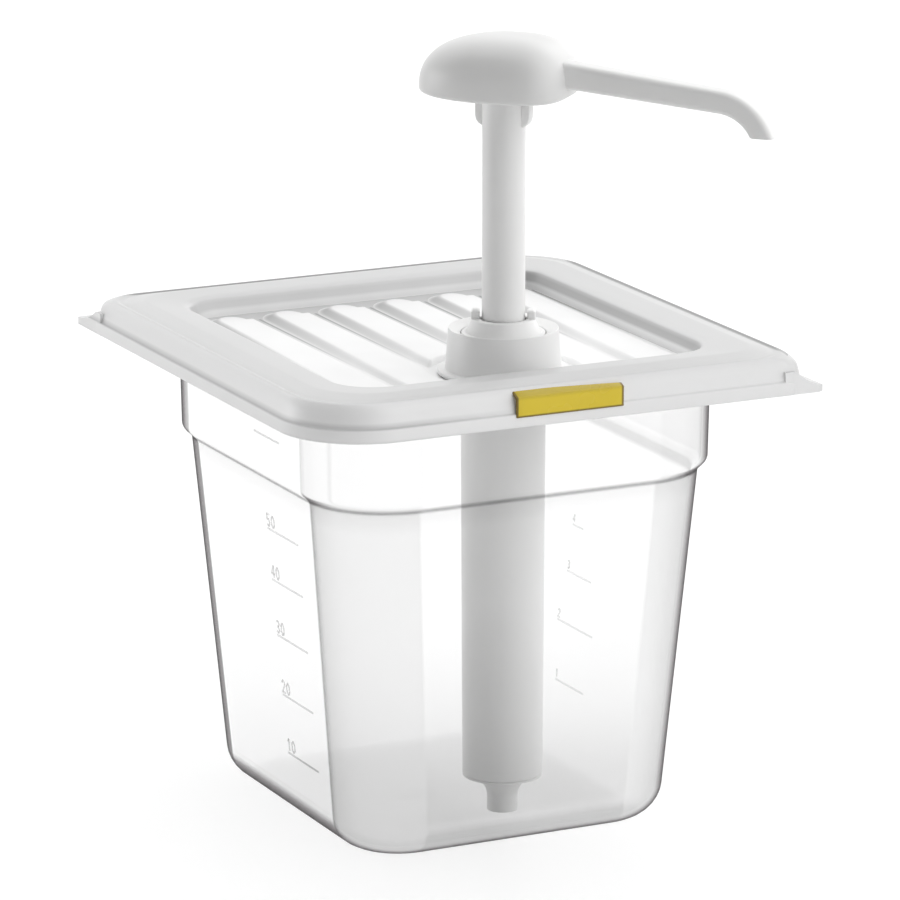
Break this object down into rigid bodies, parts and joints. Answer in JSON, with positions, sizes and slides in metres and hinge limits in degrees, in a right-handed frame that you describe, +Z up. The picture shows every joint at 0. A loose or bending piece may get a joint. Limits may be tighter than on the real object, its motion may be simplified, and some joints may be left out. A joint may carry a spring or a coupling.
{
  "type": "sauce dispenser",
  "caption": "Counter-top sauce dispenser: clear tapered food pan, translucent lid with a ribbed sunk panel and pull tabs, colour clip, and a plunger pump with a domed head and a long spout.",
  "frame": {"origin": "centre of the pan's flat base, on the surface that it stands on", "axes": "+Z up along the pump, +X along the pan's front face, +Y from the front face, where the pump and the clip are, to the back"},
  "size_m": [0.1742, 0.2099, 0.2563],
  "materials": {
    "clear_plastic": "clear, smooth moulded polycarbonate",
    "milky_plastic": "translucent milky polypropylene, satin",
    "white_plastic": "white polypropylene, soft gloss",
    "yellow_plastic": "mustard yellow, satin",
    "silicone": "pale food-grade silicone",
    "steel": "stainless steel"
  },
  "bodies": {
    "container": {"container": "clear_plastic"},
    "lid_unit": {"lid": "milky_plastic", "lid_gasket": "silicone", "colour_clip": "yellow_plastic", "pump_cylinder": "white_plastic", "cylinder_washer": "silicone", "collar_nut": "white_plastic", "guide_cap": "white_plastic", "stem_bush": "white_plastic", "stem_wiper": "silicone", "inlet_foot": "white_plastic", "inlet_foot_seal": "silicone", "inlet_ball_cage": "white_plastic", "return_spring": "steel"},
    "spring_follower": {"thrust_washer": "white_plastic"},
    "plunger": {"stem": "white_plastic", "piston": "white_plastic", "upper_piston_seal": "silicone", "lower_piston_seal": "silicone", "piston_retainer": "white_plastic", "outlet_ball_stop": "white_plastic", "pump_head": "white_plastic", "pump_spout": "white_plastic", "spout_seal": "silicone"},
    "inlet_check": {"inlet_ball": "steel"},
    "outlet_check": {"outlet_ball": "steel"}
  },
  "joints": [
    {"name": "lid_lift", "type": "slide", "parent": "container", "child": "lid_unit", "axis": [0, 0, 1], "range_m": [0, 0.2]},
    {"name": "plunger_stroke", "type": "slide", "parent": "lid_unit", "child": "spring_follower", "axis": [0, 0, -1], "range_m": [0, 0.0574], "stiffness_N_per_m": 200, "springref_m": -0.05, "deforming": ["return_spring"]},
    {"name": "head_turn", "type": "hinge", "parent": "spring_follower", "child": "plunger", "pos_m": [0, -0.044, 0.2], "axis": [0, 0, 1], "continuous": true},
    {"name": "inlet_ball_lift", "type": "slide", "parent": "lid_unit", "child": "inlet_check", "axis": [0, 0, 1], "range_m": [0, 0.0033]},
    {"name": "outlet_ball_lift", "type": "slide", "parent": "plunger", "child": "outlet_check", "axis": [0, 0, 1], "range_m": [0, 0.003]}
  ]
}
